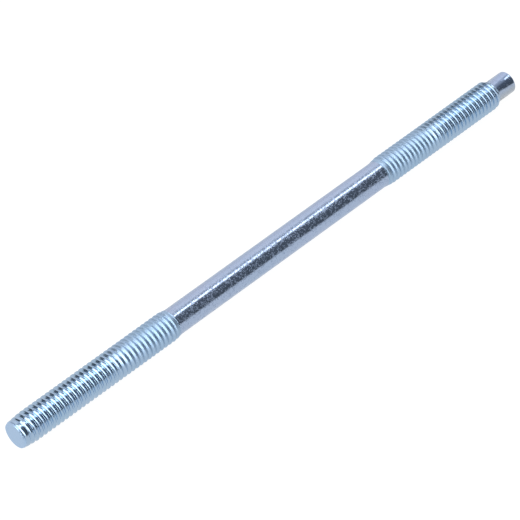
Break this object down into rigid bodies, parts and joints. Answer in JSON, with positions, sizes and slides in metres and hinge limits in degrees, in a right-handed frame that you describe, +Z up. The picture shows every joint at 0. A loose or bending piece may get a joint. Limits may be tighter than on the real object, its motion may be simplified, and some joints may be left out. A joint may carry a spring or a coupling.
{
  "type": "cylinder head stud",
  "caption": "Long steel engine stud with a rolled thread on each end, a plain shank between them and a short dog point, for clamping a cylinder and its head.",
  "frame": {"origin": "under the middle of the stud's length, on the surface it lies on", "axes": "+X along the stud towards its dog point, +Z up, +Y level across it"},
  "size_m": [0.128, 0.006, 0.0059],
  "materials": {
    "zinc_plated_steel": "bright zinc plate with a pale blue passivate"
  },
  "bodies": {
    "root": {"cylinder_head_stud": "zinc_plated_steel"}
  },
  "joints": []
}
